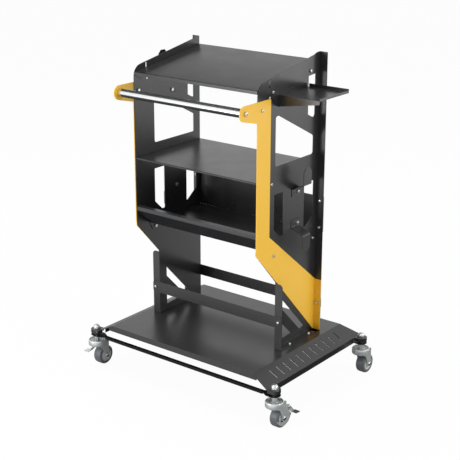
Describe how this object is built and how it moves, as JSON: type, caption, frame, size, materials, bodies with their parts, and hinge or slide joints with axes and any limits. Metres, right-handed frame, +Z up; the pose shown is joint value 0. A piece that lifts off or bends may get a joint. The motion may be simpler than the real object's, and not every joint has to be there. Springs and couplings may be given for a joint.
{
  "type": "three-tier tool cart",
  "caption": "Rolling tool cart: shelves and a bin between two bent side plates over a sloped-wing deck, with a push handle, side tray, cable hooks and braked swivel casters.",
  "frame": {"origin": "on the floor, under the middle of the cart's outer box", "axes": "+Z up, +X to the cart's right seen from the handle side, +Y from the handle side to the back"},
  "size_m": [0.8472, 0.601, 1.1249],
  "materials": {
    "black_coat": "semi-gloss black powder coat",
    "dark_coat": "semi-gloss black powder coat, darker",
    "yellow_coat": "semi-gloss yellow powder coat",
    "chrome_tube": "polished chrome",
    "zinc": "bright zinc plate",
    "stainless": "stainless steel",
    "disc_steel": "dull grey zinc",
    "grey_rubber": "matte grey thermoplastic rubber",
    "grey_plastic": "matte grey nylon",
    "black_plastic": "matte black plastic",
    "pedal_steel": "dark grey paint"
  },
  "bodies": {
    "frame": {"side_plate_left": "black_coat", "side_plate_right": "black_coat", "top_shelf": "black_coat", "middle_shelf": "black_coat", "bin_shelf": "black_coat", "back_panel": "black_coat", "side_tray": "black_coat", "upper_right_hook": "black_coat", "lower_right_hook": "black_coat", "upper_left_hook": "black_coat", "lower_left_hook": "black_coat", "front_rail": "black_coat", "deck": "black_coat", "back_rail": "dark_coat", "front_cross_bar": "dark_coat", "rear_cross_bar": "dark_coat", "yellow_panel_left": "yellow_coat", "yellow_panel_right": "yellow_coat", "handle_bar": "chrome_tube", "handle_inserts": "black_plastic", "handle_bolts": "stainless", "shelf_bolts": "stainless", "plate_nuts": "stainless", "panel_bolts": "stainless", "hook_screws": "stainless", "back_panel_screws": "stainless", "rail_screws": "stainless", "foot_screws": "stainless", "dome_nuts": "zinc", "stem_spacers": "zinc", "stem_lock_nuts": "zinc", "caster_stems": "zinc", "swivel_discs": "disc_steel"},
    "front_left_swivel": {"front_left_fork": "zinc", "front_left_axle": "zinc", "front_left_axle_nut": "zinc", "front_left_pedal_pin": "zinc"},
    "front_left_wheel": {"front_left_hub": "grey_plastic", "front_left_tyre": "grey_rubber"},
    "front_right_swivel": {"front_right_fork": "zinc", "front_right_axle": "zinc", "front_right_axle_nut": "zinc", "front_right_pedal_pin": "zinc"},
    "front_right_wheel": {"front_right_hub": "grey_plastic", "front_right_tyre": "grey_rubber"},
    "rear_left_swivel": {"rear_left_fork": "zinc", "rear_left_axle": "zinc", "rear_left_axle_nut": "zinc"},
    "rear_left_wheel": {"rear_left_hub": "grey_plastic", "rear_left_tyre": "grey_rubber"},
    "rear_right_swivel": {"rear_right_fork": "zinc", "rear_right_axle": "zinc", "rear_right_axle_nut": "zinc"},
    "rear_right_wheel": {"rear_right_hub": "grey_plastic", "rear_right_tyre": "grey_rubber"},
    "front_left_brake": {"front_left_pedal": "zinc"},
    "front_right_brake": {"front_right_pedal": "pedal_steel"}
  },
  "joints": [
    {"name": "front_left_swivel_turn", "type": "hinge", "parent": "frame", "child": "front_left_swivel", "pos_m": [-0.383, -0.2705, 0.09], "axis": [0, 0, 1], "continuous": true},
    {"name": "front_left_wheel_spin", "type": "hinge", "parent": "front_left_swivel", "child": "front_left_wheel", "pos_m": [-0.383, -0.2425, 0.034], "axis": [1, 0, 0], "continuous": true},
    {"name": "front_right_swivel_turn", "type": "hinge", "parent": "frame", "child": "front_right_swivel", "pos_m": [0.383, -0.2705, 0.09], "axis": [0, 0, 1], "continuous": true},
    {"name": "front_right_wheel_spin", "type": "hinge", "parent": "front_right_swivel", "child": "front_right_wheel", "pos_m": [0.383, -0.2425, 0.034], "axis": [1, 0, 0], "continuous": true},
    {"name": "rear_left_swivel_turn", "type": "hinge", "parent": "frame", "child": "rear_left_swivel", "pos_m": [-0.383, 0.2385, 0.09], "axis": [0, 0, 1], "continuous": true},
    {"name": "rear_left_wheel_spin", "type": "hinge", "parent": "rear_left_swivel", "child": "rear_left_wheel", "pos_m": [-0.383, 0.2665, 0.034], "axis": [1, 0, 0], "continuous": true},
    {"name": "rear_right_swivel_turn", "type": "hinge", "parent": "frame", "child": "rear_right_swivel", "pos_m": [0.383, 0.2385, 0.09], "axis": [0, 0, 1], "continuous": true},
    {"name": "rear_right_wheel_spin", "type": "hinge", "parent": "rear_right_swivel", "child": "rear_right_wheel", "pos_m": [0.383, 0.2665, 0.034], "axis": [1, 0, 0], "continuous": true},
    {"name": "front_left_brake_press", "type": "hinge", "parent": "front_left_swivel", "child": "front_left_brake", "pos_m": [-0.383, -0.2425, 0.072], "axis": [1, 0, 0], "range_deg": [0, 5]},
    {"name": "front_right_brake_press", "type": "hinge", "parent": "front_right_swivel", "child": "front_right_brake", "pos_m": [0.383, -0.2205, 0.066], "axis": [-1, 0, 0], "range_deg": [0, 15]}
  ]
}
